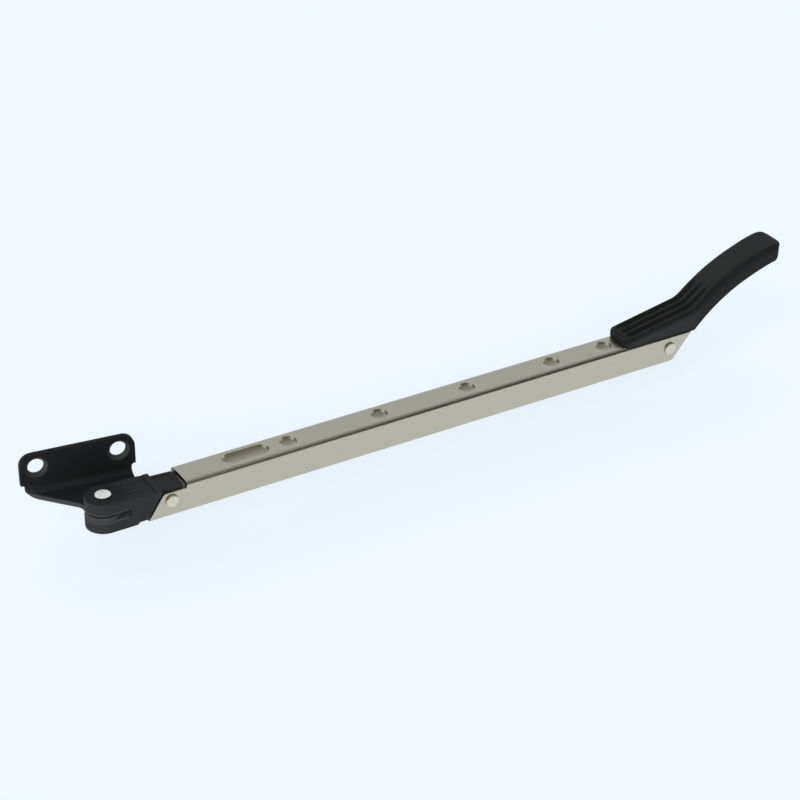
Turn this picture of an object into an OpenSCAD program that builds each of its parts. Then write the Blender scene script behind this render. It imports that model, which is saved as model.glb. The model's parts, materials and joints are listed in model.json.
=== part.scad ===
// Casement window stay: screw-on bracket, swivelling knuckle, perforated channel arm and lever handle.
// Millimetres. The origin is on the back face of the bracket's plate, midway between its screw holes.
// +X runs along the window towards the handle, -Y points into the room and +Z is up.

/* [Pose] */
// Swing of the arm towards the window, from parallel with the bracket's plate
arm_swing = 7.5; // [-90:0.5:12]

/* [Bracket] */
// Thickness of the bracket's sheet
bracket_t = 2; // [1.5:0.1:2.5]
// Width of the upright plate
plate_w = 41.4; // [38:0.2:60]
// Height of the plate above its screw holes
plate_rise = 5.3; // [5:0.1:10]
// Depth of the plate's full width below its screw holes
plate_fall = 6.5; // [5:0.1:8]
// Radius of the plate's upper corners
plate_corner_r = 4.5; // [2:0.5:5]
// Distance between the two screw holes
screw_spacing = 29.5; // [24:0.5:32]
// Diameter of the screw holes
screw_d = 6.4; // [4:0.1:6.6]
// Diameter of the countersinks
countersink_d = 8; // [7:0.1:9]
// Distance from the screw holes down to the tongue's upper face
tongue_drop = 10; // [9.6:0.1:14]
// Inside radius of the bend between plate and tongue
bracket_bend_r = 2; // [1.5:0.1:2.5]
// Distance from the plate's back face to the hinge pin
hinge_reach = 20; // [19:0.5:24]
// Distance of the hinge pin beyond the middle of the plate
hinge_offset = 3.1; // [1:0.1:5]
// Outside radius of the tongue's eye
eye_r = 6.5; // [6:0.1:7.1]
// Angle between the plate and the tongue's slanted edge
tongue_edge_angle = 41.5; // [38:0.5:45]
// Radius of the fillet between that edge and the eye
tongue_fillet_r = 4; // [2:0.5:5]
// Angle from the plate at which the tongue's other edge leaves the eye
neck_angle = 66; // [62:1:72]
// Radius of the fillet between the other edge and the eye
neck_fillet_r = 1.5; // [1:0.1:2]
// Length of the tongue's straight side in front of the bend
corner_drop = 0.8; // [0.4:0.1:1.5]
// Amount by which the bend is narrower than the plate at each end
relief_w = 1.6; // [1:0.1:2.5]
// Radius of the relief notches at the ends of the bend
relief_r = 1.2; // [0.8:0.1:1.5]

/* [Hinge pin] */
// Diameter of the hinge pin
pin_d = 6; // [5:0.1:7]
// Height of the pin's upper end above the knuckle
pin_proud = 0.45; // [0.2:0.05:0.8]
// Chamfer of the pin's ends
pin_chamfer = 0.25; // [0.1:0.05:0.4]

/* [Knuckle] */
// Distance from the hinge pin to the lift rivet
knuckle_reach = 23; // [21:0.5:28]
// Width of the knuckle and diameter of its round end
knuckle_w = 13.3; // [12.9:0.1:15]
// Height of the knuckle's top above the lift rivet, at the hinge pin
knuckle_rise = 6.4; // [6.2:0.1:7]
// Downward slope of the knuckle's top towards the channel
knuckle_slope = 3.6; // [2:0.2:4]
// Depth of the knuckle's underside below the lift rivet
knuckle_fall = 5.3; // [5:0.1:6]
// Height of the tongue's middle above the lift rivet
tongue_level = 0.2; // [0:0.1:0.6]
// Clearance above and below the tongue in the knuckle's slot
slot_clear = 0.6; // [0.3:0.05:0.8]
// Distance from the hinge pin to the end of the knuckle's slot
slot_reach = 7.6; // [7.4:0.1:8.4]
// Radius of the knuckle's upper edges
knuckle_edge_r = 0.6; // [0.3:0.1:1]
// Height of the raised step on the underside, in front of the shoulder
underside_step = 0.8; // [0.4:0.1:1.2]
// Radius of the three flutes on the knuckle's top
knuckle_flute_r = 1.3; // [1:0.1:1.5]
// Depth of those flutes
knuckle_flute_depth = 0.4; // [0.2:0.05:0.6]
// Distance between those flutes
knuckle_flute_pitch = 3; // [2.8:0.1:3.4]
// Distance from the lift rivet to the middle of the cross rib
rib_setback = 4.8; // [4.4:0.1:6]
// Width of the cross rib and of the groove beside it
rib_w = 1.1; // [0.8:0.1:1.3]
// Depth of the groove beside the cross rib
rib_groove = 0.5; // [0.3:0.1:0.8]
// Depth of the lug's panel below the slope of the top
panel_drop = 0.25; // [0.15:0.05:0.4]
// Length of the panel beyond the lift rivet
panel_reach = 4.9; // [4:0.1:5]
// Depth of the recess in the panel
panel_recess = 0.35; // [0.2:0.05:0.6]
// Clearance between the lug and the channel's ears
lug_clear = 0.3; // [0.2:0.05:0.5]

/* [Channel] */
// Distance between the lift rivet and the handle rivet
arm_reach = 212.7; // [205:0.5:260]
// Outside width of the channel
channel_w = 12.4; // [11.6:0.1:13]
// Height of the channel's top above the rivets
channel_rise = 5.7; // [5.5:0.1:6.2]
// Depth of the channel's lower edges below the rivets
channel_fall = 5.7; // [5.4:0.1:7]
// Thickness of the channel's sheet
sheet_t = 1.2; // [0.8:0.1:1.4]
// Outside radius of the channel's bends
channel_bend_r = 1.8; // [1.6:0.1:2.4]
// Distance of the ear's slanted end from the lift rivet
ear_setback = 4.3; // [4:0.1:4.5]
// Lean of the ears' slanted ends
ear_lean = 33.8; // [25:0.2:36]
// Distance from the lift rivet to the start of the top wall
wall_start = 5.8; // [5.7:0.1:8]
// Distance of the far slanted end beyond the handle rivet, at the rivet's height
far_end_reach = 6; // [5:0.1:8]
// Lean of the far slanted ends
far_end_lean = 39.8; // [30:0.2:45]
// Diameter of the peg holes and width of the slot
peg_hole_d = 6.4; // [5:0.1:7.2]
// Distance from the lift rivet to the first peg hole
first_hole = 48.9; // [46:0.1:55]
// Distance between the peg holes
hole_pitch = 37.5; // [30:0.5:38]
// Number of equally spaced peg holes
hole_count = 4; // [2:1:4]
// Distance from the handle rivet back to the extra peg hole beside the handle
last_setback = 27.3; // [26:0.1:32]
// Distance from the lift rivet to the middle of the long slot
slot_middle = 31.9; // [28:0.1:33]
// Length of the long slot
slot_length = 18.3; // [10:0.1:20]

/* [Rivets] */
// Diameter of both rivets
rivet_d = 3.6; // [3:0.1:4]
// Diameter of the rivets' heads
rivet_head_d = 4.9; // [4.5:0.1:6]
// Height of the rivets' heads
rivet_head_h = 0.8; // [0.5:0.1:1.2]
// Chamfer of the rivets' heads
rivet_chamfer = 0.25; // [0.1:0.05:0.4]

/* [Handle] */
// Width of the handle
handle_w = 12.2; // [11.4:0.1:13]
// Distance of the nose in front of the handle rivet
nose_reach = 20.9; // [17:0.1:22]
// Height of the nose above the channel's top
nose_h = 3.4; // [3:0.1:5]
// Upward slope of the top behind the nose
top_slope = 10.4; // [8:0.2:12]
// Distance from the nose to the bend between the top and the lever
bend_reach = 31.2; // [30:0.2:34]
// Slope of the lever where it leaves the bend
lever_slope = 42; // [38:0.5:44]
// Radius of the lever's upper side
lever_r = 74; // [62:0.2:80]
// Thickness of the lever
lever_t = 7.4; // [6.4:0.1:8]
// Distance from the handle rivet to the lever's tip
tip_reach = 51.2; // [44:0.1:54]
// Length of the slope at the tip's upper end
tip_roll = 4.5; // [3:0.1:6]
// Drop of the tip's upper edge below the lever's curve
tip_drop = 1.2; // [0.5:0.1:2]
// Radius of the handle's long edges
handle_edge_r = 1.3; // [0.6:0.1:1.6]
// Radius of the nose's corners, seen from above
nose_corner_r = 3; // [2:0.5:4]
// Radius of the tip's corners, seen from above
tip_corner_r = 2.6; // [1.5:0.1:4]
// Radius of the three flutes on the handle's top
flute_r = 1.5; // [1.2:0.05:1.6]
// Depth of those flutes
flute_depth = 0.85; // [0.5:0.05:1]
// Distance between those flutes
flute_pitch = 3.5; // [3.3:0.05:3.8]
// Distance from the nose to the start of the flutes
flute_start = 3.6; // [3:0.1:6]
// Distance from the handle rivet back to the end of the channel's top wall
wall_end_setback = 6.2; // [5:0.1:8]

/* [Fits] */
// Radial clearance of a turning fit
turn_clear = 0.05; // [0.02:0.01:0.08]
// Gap between pieces that are fastened to each other
seat = 0.03; // [0.02:0.01:0.05]
// Clearance of the ears past the knuckle's shoulder
lift_clear = 0.3; // [0.25:0.05:0.5]

/* [Hidden] */
$fn = 64;
eps = 0.5;
big = 60;

// Levels above the origin, and the hinge pin's place
tongue_top = -tongue_drop;
pivot_z = tongue_top - bracket_t / 2 - tongue_level;
hinge_x = hinge_offset;
hinge_y = -hinge_reach;

// Knuckle
slot_h = bracket_t + 2 * slot_clear;
neck_reach = eye_r + 1;
ear_top = channel_rise - sheet_t;
ear_corner_t = (ear_top - ear_setback * sin(ear_lean)) / cos(ear_lean);
shoulder_setback = norm([ear_setback, ear_corner_t]) + lift_clear;
lug_w = channel_w - 2 * sheet_t - 2 * lug_clear;
lug_r = min(knuckle_fall, channel_fall) - underside_step;
slope_way = [cos(knuckle_slope), -sin(knuckle_slope)];
pin_top = knuckle_rise + pin_proud;
pin_bottom = -knuckle_fall - pin_chamfer;

// Height of the lug's top at a distance along the arm
function lug_top(x) = knuckle_rise - (x + knuckle_reach) * tan(knuckle_slope) - panel_drop;

// Channel
wall_end = arm_reach - wall_end_setback;
channel_len = arm_reach + 40;
last_hole = arm_reach - last_setback;

// Handle, in the plane of its side view
nose_x = arm_reach - nose_reach;
nose_top = channel_rise + nose_h;
nose_corner = [nose_x, nose_top];
top_way = [cos(top_slope), sin(top_slope)];
bend = nose_corner + bend_reach / cos(top_slope) * top_way;
bend_slope = (top_slope + lever_slope) / 2;
lever_centre = bend + lever_r * [sin(lever_slope), -cos(lever_slope)];
heel_turn = 14;
tip_x = arm_reach + tip_reach;
tip_z = lever_top(tip_x) - tip_drop;
flute_h = flute_r - flute_depth;
cap_floor = ear_top + seat;
handle_tongue_w = channel_w - 2 * sheet_t - 2 * seat;

// Height of the lever's upper side at a distance along the arm
function lever_top(x) = lever_centre[1] + sqrt(pow(lever_r, 2) - pow(x - lever_centre[0], 2));

// Places its children, drawn from the lift rivet along +X, on the swung arm
module on_arm() {
    translate([hinge_x, hinge_y, pivot_z])
        rotate([0, 0, arm_swing])
            translate([knuckle_reach, 0, 0])
                children();
}

// Stands a side view, drawn in X and Z, up in the arm's middle plane and gives it a width
module side_view(w) {
    translate([0, w / 2, 0])
        rotate([90, 0, 0])
            linear_extrude(w)
                children();
}

// Draws a cross-section, in Y and Z, out along a line of the side view
module along_line(start, slope, length) {
    translate([start[0], 0, start[1]])
        rotate([0, -slope, 0])
            rotate([90, 0, 90])
                linear_extrude(length)
                    children();
}

// Turns a cross-section, in radius and Y, about a centre of the side view
module about_point(centre, from, to) {
    translate([centre[0], 0, centre[1]])
        rotate([90, 0, 0])
            rotate([0, 0, from])
                rotate_extrude(angle = to - from)
                    children();
}

// A rectangle between two heights with all four corners rounded
module rounded_strip(w, low, high, r) {
    translate([-w / 2 + r, low])
        square([w - 2 * r, high - low]);
    translate([-w / 2, low + r])
        square([w, high - low - 2 * r]);
    for (side = [-1, 1])
        for (z = [low + r, high - r])
            translate([side * (w / 2 - r), z])
                circle(r);
}

// The same with only the upper corners rounded
module rounded_top(w, low, high, r) {
    translate([-w / 2, low])
        square([w, high - low - r]);
    translate([-w / 2 + r, high - 2 * r])
        square([w - 2 * r, 2 * r]);
    for (side = [-1, 1])
        translate([side * (w / 2 - r), high - r])
            circle(r);
}

// A half-plane of the side view beyond a line that leans back from the upright
module beyond(setback, lean) {
    rotate(-lean)
        translate([setback, -big])
            square([2 * big, 2 * big]);
}

// Fillet between the eye and a straight edge that leaves it, on the edge's left (+1) or right (-1)
module eye_fillet(direction, offset, r, hand) {
    y = offset + hand * r;
    x = sqrt(pow(eye_r + r, 2) - y * y);
    rotate(direction)
        difference() {
            polygon([[0, 0], [0, offset - hand * eps], [x, offset - hand * eps], [x, y]]);
            translate([x, y])
                circle(r - seat);
        }
}

// Tongue seen from above, from the hinge pin
module tongue_outline() {
    slant = 180 - tongue_edge_angle;
    slant_length = hinge_reach / sin(tongue_edge_angle);
    corner = [plate_w / 2 - relief_w - hinge_offset, hinge_reach - bracket_t - bracket_bend_r - corner_drop];
    near = neck_reach * [cos(neck_angle), sin(neck_angle)];
    neck_lean = atan2(corner[1] - near[1], corner[0] - near[0]);
    neck_offset = near[1] * cos(neck_lean) - near[0] * sin(neck_lean);
    circle(eye_r);
    polygon([
        [0, 0],
        slant_length * [cos(slant), sin(slant)],
        [corner[0], hinge_reach],
        corner,
        near
    ]);
    eye_fillet(slant, 0, tongue_fillet_r, 1);
    eye_fillet(neck_lean, neck_offset, neck_fillet_r, -1);
}

module bracket() {
    fold_r = bracket_bend_r + bracket_t;
    fold_y = -fold_r;
    fold_z = tongue_top + bracket_bend_r;
    half_bend = plate_w / 2 - relief_w;
    color([0.07, 0.07, 0.08])
    difference() {
        union() {
            // Upright plate with rounded upper corners
            rotate([90, 0, 0])
                linear_extrude(bracket_t) {
                    translate([-plate_w / 2, -plate_fall])
                        square([plate_w, plate_fall + plate_rise - plate_corner_r]);
                    translate([-plate_w / 2 + plate_corner_r, 0])
                        square([plate_w - 2 * plate_corner_r, plate_rise]);
                    for (side = [-1, 1])
                        translate([side * (plate_w / 2 - plate_corner_r), plate_rise - plate_corner_r])
                            circle(plate_corner_r);
                    translate([-half_bend, fold_z])
                        square([2 * half_bend, -fold_z]);
                }
            // Bend and tongue: one bent strip, cut to the tongue's outline
            intersection() {
                rotate([90, 0, 90])
                    translate([0, 0, -half_bend])
                        linear_extrude(2 * half_bend + eps)
                            union() {
                                translate([-hinge_reach - eye_r - 1, tongue_top - bracket_t])
                                    square([hinge_reach + eye_r + 1 - fold_r, bracket_t]);
                                intersection() {
                                    difference() {
                                        translate([fold_y, fold_z])
                                            circle(fold_r);
                                        translate([fold_y, fold_z])
                                            circle(bracket_bend_r);
                                    }
                                    translate([fold_y, fold_z - fold_r])
                                        square([fold_r, fold_r]);
                                }
                            }
                translate([hinge_x, hinge_y, tongue_top - big])
                    linear_extrude(2 * big)
                        tongue_outline();
            }
        }
        // Countersunk screw holes
        for (side = [-1, 1])
            translate([side * screw_spacing / 2, 0, 0])
                rotate([90, 0, 0]) {
                    translate([0, 0, -eps])
                        cylinder(d = screw_d, h = bracket_t + 2 * eps);
                    translate([0, 0, bracket_t - (countersink_d - screw_d) / 2])
                        cylinder(d1 = screw_d, d2 = countersink_d + 2 * eps, h = (countersink_d - screw_d) / 2 + eps);
                }
        // Relief notches at the ends of the bend
        for (side = [-1, 1])
            translate([side * (half_bend + relief_r), eps, -plate_fall])
                rotate([90, 0, 0])
                    cylinder(r = relief_r, h = bracket_t + 2 * eps);
        // Running hole for the hinge pin
        translate([hinge_x, hinge_y, tongue_top - bracket_t - eps])
            cylinder(r = pin_d / 2 + turn_clear, h = bracket_t + 2 * eps);
    }
}

module hinge_pin() {
    color([0.78, 0.78, 0.76])
    on_arm()
        translate([-knuckle_reach, 0, pin_bottom])
            rotate_extrude()
                polygon([
                    [0, 0],
                    [pin_d / 2 - pin_chamfer, 0],
                    [pin_d / 2, pin_chamfer],
                    [pin_d / 2, pin_top - pin_bottom - pin_chamfer],
                    [pin_d / 2 - pin_chamfer, pin_top - pin_bottom],
                    [0, pin_top - pin_bottom]
                ]);
}

// Places its children on the knuckle's sloping top, with X from the hinge pin down the slope
module on_slope() {
    translate([-knuckle_reach, 0, knuckle_rise])
        rotate([0, knuckle_slope, 0])
            children();
}

module knuckle_block() {
    difference() {
        along_line([-knuckle_reach, knuckle_rise] - 3 * slope_way, -knuckle_slope, knuckle_reach + knuckle_w)
            rounded_top(knuckle_w, -2 * knuckle_w, 0, knuckle_edge_r);
        translate([-knuckle_reach - big, -knuckle_w, -big])
            cube([big, 2 * knuckle_w, 2 * big]);
        translate([-knuckle_reach - big, -knuckle_w, -knuckle_fall - big])
            cube([3 * big, 2 * knuckle_w, big]);
    }
    // Round end about the hinge pin
    translate([-knuckle_reach, 0, 0])
        rotate([0, 0, 90])
            rotate_extrude(angle = 180)
                intersection() {
                    rounded_top(knuckle_w + 2 * seat, -knuckle_fall, knuckle_rise + seat, knuckle_edge_r);
                    translate([0, -big])
                        square([big, 2 * big]);
                }
}

module knuckle_lug() {
    side_view(lug_w) {
        circle(lug_r);
        translate([-knuckle_reach / 2, -lug_r])
            square([knuckle_reach / 2, 2 * lug_r]);
        polygon([
            [-knuckle_reach / 2, 0],
            [-knuckle_reach / 2, lug_top(-knuckle_reach / 2)],
            [panel_reach, lug_top(panel_reach)],
            [panel_reach, 0]
        ]);
    }
}

module knuckle() {
    step_x = -shoulder_setback / cos(ear_lean) - 7;
    groove_s = knuckle_reach - rib_setback - rib_w * 1.5;
    panel_s = knuckle_reach - rib_setback + rib_w / 2;
    panel_len = knuckle_reach + panel_reach - panel_s;
    flute_s = pin_d / 2 + 2;
    color([0.13, 0.13, 0.14])
    on_arm()
        difference() {
            union() {
                difference() {
                    knuckle_block();
                    // Slanted shoulder that the channel's ears swing past
                    side_view(2 * knuckle_w)
                        beyond(-shoulder_setback, ear_lean);
                }
                knuckle_lug();
            }
            // Slot for the bracket's tongue
            translate([-knuckle_reach - knuckle_w, -knuckle_w, tongue_level - slot_h / 2])
                cube([knuckle_w + slot_reach, 2 * knuckle_w, slot_h]);
            // Raised step of the underside
            side_view(2 * knuckle_w)
                polygon([
                    [step_x, -knuckle_fall - 1],
                    [step_x, -knuckle_fall],
                    [step_x + underside_step, -knuckle_fall + underside_step],
                    [big, -knuckle_fall + underside_step],
                    [big, -knuckle_fall - 1]
                ]);
            // Flutes behind the hinge pin, the groove in front of the cross rib and the lower panel behind it
            on_slope() {
                for (i = [-1, 0, 1])
                    translate([flute_s, i * knuckle_flute_pitch, knuckle_flute_r - knuckle_flute_depth])
                        rotate([0, 90, 0])
                            cylinder(r = knuckle_flute_r, h = groove_s - flute_s);
                translate([groove_s, -knuckle_w, -rib_groove])
                    cube([rib_w, 2 * knuckle_w, big]);
                translate([panel_s, -knuckle_w, -panel_drop - 0.1])
                    cube([big, 2 * knuckle_w, big]);
                translate([panel_s + rib_w, -lug_w / 2 + rib_w, -panel_drop - 0.1 - panel_recess])
                    cube([panel_len - 2 * rib_w, lug_w - 2 * rib_w, big]);
            }
            // Seat of the hinge pin and turning hole of the lift rivet
            translate([-knuckle_reach, 0, -big])
                cylinder(r = pin_d / 2 + seat, h = 2 * big);
            translate([0, big, 0])
                rotate([90, 0, 0])
                    cylinder(r = rivet_d / 2 + turn_clear, h = 2 * big);
        }
}

module channel_section() {
    inner_r = channel_bend_r - sheet_t;
    inner_w = channel_w - 2 * sheet_t;
    difference() {
        union() {
            translate([-channel_w / 2, -channel_fall])
                square([channel_w, channel_fall + channel_rise - channel_bend_r]);
            translate([-channel_w / 2 + channel_bend_r, 0])
                square([channel_w - 2 * channel_bend_r, channel_rise]);
            for (side = [-1, 1])
                translate([side * (channel_w / 2 - channel_bend_r), channel_rise - channel_bend_r])
                    circle(channel_bend_r);
        }
        translate([-inner_w / 2, -channel_fall - 1])
            square([inner_w, channel_fall + 1 + ear_top - inner_r]);
        translate([-inner_w / 2 + inner_r, -1])
            square([inner_w - 2 * inner_r, 1 + ear_top]);
        for (side = [-1, 1])
            translate([side * (inner_w / 2 - inner_r), ear_top - inner_r])
                circle(inner_r);
    }
}

module arm_channel() {
    color([0.72, 0.7, 0.66])
    on_arm()
        difference() {
            translate([-20, 0, 0])
                rotate([90, 0, 90])
                    linear_extrude(channel_len)
                        channel_section();
            // Slanted ends of the ears
            side_view(2 * channel_w)
                rotate(180)
                    beyond(ear_setback, ear_lean);
            translate([arm_reach, 0, 0])
                side_view(2 * channel_w)
                    beyond(far_end_reach * cos(far_end_lean), far_end_lean);
            // Top wall cut back between the ears, at both ends, with the bends' inner corners
            for (x = [wall_start - big, wall_end]) {
                translate([x, -channel_w, ear_top])
                    cube([big, 2 * channel_w, big]);
                translate([x, -channel_w / 2 + sheet_t, 0])
                    cube([big, channel_w - 2 * sheet_t, big]);
            }
            // Peg holes and the long slot
            for (i = [0 : hole_count - 1])
                translate([first_hole + i * hole_pitch, 0, 0])
                    cylinder(d = peg_hole_d, h = big);
            translate([last_hole, 0, 0])
                cylinder(d = peg_hole_d, h = big);
            for (side = [-1, 1])
                translate([slot_middle + side * (slot_length - peg_hole_d) / 2, 0, 0])
                    cylinder(d = peg_hole_d, h = big);
            translate([slot_middle - (slot_length - peg_hole_d) / 2, -peg_hole_d / 2, 0])
                cube([slot_length - peg_hole_d, peg_hole_d, big]);
            // Rivet holes
            for (x = [0, arm_reach])
                translate([x, big, 0])
                    rotate([90, 0, 0])
                        cylinder(r = rivet_d / 2 + seat, h = 2 * big);
        }
}

module rivet() {
    half = channel_w / 2 + seat;
    full = half + rivet_head_h;
    rotate([90, 0, 0])
        rotate_extrude()
            polygon([
                [0, -full],
                [rivet_head_d / 2 - rivet_chamfer, -full],
                [rivet_head_d / 2, -full + rivet_chamfer],
                [rivet_head_d / 2, -half],
                [rivet_d / 2, -half],
                [rivet_d / 2, half],
                [rivet_head_d / 2, half],
                [rivet_head_d / 2, full - rivet_chamfer],
                [rivet_head_d / 2 - rivet_chamfer, full],
                [0, full]
            ]);
}

module lift_rivet() {
    color([0.75, 0.74, 0.71])
    on_arm()
        rivet();
}

module handle_rivet() {
    color([0.75, 0.74, 0.71])
    on_arm()
        translate([arm_reach, 0, 0])
            rivet();
}

// Handle seen from above
module handle_outline() {
    half = handle_w / 2 + 0.15;
    translate([nose_x + nose_corner_r, -half])
        square([tip_x - nose_x - nose_corner_r - tip_corner_r, 2 * half]);
    translate([nose_x, -half + nose_corner_r])
        square([nose_corner_r + 1, 2 * half - 2 * nose_corner_r]);
    translate([tip_x - tip_corner_r - 1, -half + tip_corner_r])
        square([tip_corner_r + 1, 2 * half - 2 * tip_corner_r]);
    for (side = [-1, 1]) {
        translate([nose_x + nose_corner_r, side * (half - nose_corner_r)])
            circle(nose_corner_r);
        translate([tip_x - tip_corner_r, side * (half - tip_corner_r)])
            circle(tip_corner_r);
    }
}

// One flute: along the top, then straight up the lever until the lever's curve drops away from it
module handle_flute(y) {
    start = nose_corner + flute_start / cos(top_slope) * top_way + flute_h * [-top_way[1], top_way[0]];
    foot = bend + flute_h * [-sin(bend_slope), cos(bend_slope)] / cos(lever_slope - bend_slope);
    for (end = [start, foot])
        translate([end[0], y, end[1]])
            rotate([90, 0, 0])
                sphere(1.02 * flute_r);
    along_line(start, top_slope, norm(foot - start))
        translate([y, 0])
            circle(flute_r);
    along_line(foot, lever_slope, 2 * sqrt(2 * lever_r * flute_depth) + flute_r)
        translate([y, 0])
            circle(flute_r);
}

module handle_form() {
    deep = bend[1] - cap_floor + 3;
    run = norm(bend - nose_corner) + 8;
    // Wedge behind the nose, ending inside the lever
    difference() {
        along_line(nose_corner - 4 * top_way, top_slope, run)
            rounded_top(handle_w, -deep, 0, handle_edge_r);
        translate([lever_centre[0], handle_w, lever_centre[1]])
            rotate([90, 0, 0])
                cylinder(r = lever_r - 0.8 * lever_t, h = 2 * handle_w);
    }
    // Curved lever, carried on down through the wedge to its heel
    about_point(lever_centre, 90, 90 + lever_slope + heel_turn)
        translate([lever_r, 0])
            rotate(-90)
                rounded_strip(handle_w - 2 * seat, -lever_t, 0, handle_edge_r);
}

module handle() {
    color([0.09, 0.09, 0.1])
    on_arm()
        difference() {
            union() {
                difference() {
                    intersection() {
                        handle_form();
                        linear_extrude(2 * big)
                            handle_outline();
                    }
                    // Seats on the ears and on the channel's top wall
                    translate([nose_x - big, -handle_w, cap_floor - 2 * big])
                        cube([4 * big, 2 * handle_w, 2 * big]);
                    translate([nose_x - big, -handle_w, 0])
                        cube([wall_end + seat - nose_x + big, 2 * handle_w, channel_rise + seat]);
                    for (i = [-1, 0, 1])
                        handle_flute(i * flute_pitch);
                    // Slope at the tip's upper end
                    side_view(2 * handle_w)
                        translate([tip_x, tip_z])
                            rotate(atan2(tip_z - lever_top(tip_x - tip_roll), tip_roll))
                                translate([-2 * tip_roll, 0])
                                    square([4 * tip_roll, big]);
                }
                // Tongue between the ears
                difference() {
                    side_view(handle_tongue_w)
                        translate([wall_end + seat, -channel_fall + 0.6])
                            square([big, channel_fall - 0.6 + cap_floor + 1]);
                    translate([arm_reach, 0, 0])
                        side_view(2 * channel_w)
                            beyond((far_end_reach - 0.6) * cos(far_end_lean), far_end_lean);
                }
            }
            translate([arm_reach, big, 0])
                rotate([90, 0, 0])
                    cylinder(r = rivet_d / 2 + seat, h = 2 * big);
        }
}

bracket();
hinge_pin();
knuckle();
arm_channel();
lift_rivet();
handle();
handle_rivet();
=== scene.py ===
# %% [markdown]
# # A casement window stay, dressed for its picture
# The stay has seven pieces: a coated bracket, a cast knuckle on a hinge pin, a folded steel channel with
# peg holes, a moulded lever handle, and two rivets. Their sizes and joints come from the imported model,
# so this lesson only adds what the eye wants: soft edges, a well-shaped handle, finishes, light and a
# camera.

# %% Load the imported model
import json
import math
import bmesh
import bpy
from mathutils import Matrix, Vector

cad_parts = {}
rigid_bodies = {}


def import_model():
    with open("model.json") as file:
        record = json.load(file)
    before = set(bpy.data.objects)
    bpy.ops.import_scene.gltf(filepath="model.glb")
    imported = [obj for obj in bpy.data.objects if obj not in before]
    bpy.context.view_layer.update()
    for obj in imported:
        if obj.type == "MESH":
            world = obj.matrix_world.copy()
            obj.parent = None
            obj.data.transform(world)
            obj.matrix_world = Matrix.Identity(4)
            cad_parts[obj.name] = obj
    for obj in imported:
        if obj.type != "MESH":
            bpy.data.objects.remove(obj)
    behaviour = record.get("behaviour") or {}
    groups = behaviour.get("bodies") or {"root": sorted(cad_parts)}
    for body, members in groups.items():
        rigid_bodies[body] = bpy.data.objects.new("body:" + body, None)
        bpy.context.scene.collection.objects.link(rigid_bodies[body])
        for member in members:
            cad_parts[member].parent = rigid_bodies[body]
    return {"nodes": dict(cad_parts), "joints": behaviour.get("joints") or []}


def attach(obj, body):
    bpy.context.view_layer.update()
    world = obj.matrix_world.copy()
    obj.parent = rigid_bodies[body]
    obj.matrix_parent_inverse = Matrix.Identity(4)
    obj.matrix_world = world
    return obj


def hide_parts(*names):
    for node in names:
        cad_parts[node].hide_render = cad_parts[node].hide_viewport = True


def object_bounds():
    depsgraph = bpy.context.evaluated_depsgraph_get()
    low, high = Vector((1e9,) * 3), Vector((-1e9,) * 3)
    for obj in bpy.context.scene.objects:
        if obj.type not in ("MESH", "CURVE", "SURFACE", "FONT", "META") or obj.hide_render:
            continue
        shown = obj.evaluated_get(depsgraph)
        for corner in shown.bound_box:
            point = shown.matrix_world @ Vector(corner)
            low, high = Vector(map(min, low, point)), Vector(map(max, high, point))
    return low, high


for starter in list(bpy.data.objects):
    bpy.data.objects.remove(starter)
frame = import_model()
cad_low, cad_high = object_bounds()
scene = bpy.context.scene
MM = 0.001
print("CAD box in mm:", [round(v / MM, 2) for v in (*cad_low, *cad_high)])

# %% [markdown]
# ## The arm's own axes
# The arm stands a few degrees away from the window, so nothing on it is square to the world. The lift joint
# says where its rivet is and which way it points, and from those two we get a matrix for the arm: x runs
# along the channel, y across it and z up. Shapes and brushing marks on the arm are worked out in that frame.

# %% Axes of the arm
joints = {joint["name"]: joint for joint in frame["joints"]}
hinge_spot = Vector(joints["swivel"]["pos_m"])
rivet_spot = Vector(joints["lift"]["pos_m"])
arm_across = -Vector(joints["lift"]["axis"]).normalized()
arm_along = arm_across.cross(Vector((0, 0, 1)))
arm_turn = math.atan2(arm_along.y, arm_along.x)
arm_matrix = Matrix.Translation(rivet_spot) @ Matrix.Rotation(arm_turn, 4, "Z")
print("the arm is turned by", round(math.degrees(arm_turn), 2), "degrees")


# %% [markdown]
# ## Soft edges on the solid pieces
# No real edge is perfectly sharp: sheet is deburred, castings are tumbled, coats flow round corners. A thin
# bevel catches a line of light there. We could add a Bevel modifier, but the solids come as loose triangles,
# so a copy is welded first, its flat triangles are joined into whole faces, and then every edge with a real
# corner is bevelled by the operator. A Weighted Normal modifier keeps the big faces flat in the shading.

# %% Helper: a welded copy with bevelled edges
SHARP = math.radians(35)
FLAT = math.radians(1)
WELD = 0.001 * MM


def finish_piece(piece, body, slot, *stands_for):
    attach(piece, body)
    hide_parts(*stands_for)
    print(piece.name, "has", len(piece.data.polygons), "faces and rides on", body)


def new_piece(name, bm):
    bmesh.ops.recalc_face_normals(bm, faces=bm.faces)
    mesh = bpy.data.meshes.new(name)
    bm.to_mesh(mesh)
    bm.free()
    mesh.shade_smooth()
    mesh.set_sharp_from_angle(angle=SHARP)
    piece = bpy.data.objects.new(name, mesh)
    scene.collection.objects.link(piece)
    even = piece.modifiers.new("Even shading", "WEIGHTED_NORMAL")
    even.keep_sharp = True
    return piece


def welded(node, weld=WELD):
    bm = bmesh.new()
    bm.from_mesh(frame["nodes"][node].data)
    bmesh.ops.remove_doubles(bm, verts=bm.verts, dist=weld)
    bmesh.ops.dissolve_degenerate(bm, dist=weld, edges=bm.edges)
    bmesh.ops.dissolve_limit(bm, angle_limit=FLAT, verts=bm.verts, edges=bm.edges)
    return bm


def corner_edges(bm):
    return [e for e in bm.edges if len(e.link_faces) == 2 and e.calc_face_angle(0) > SHARP]


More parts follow.
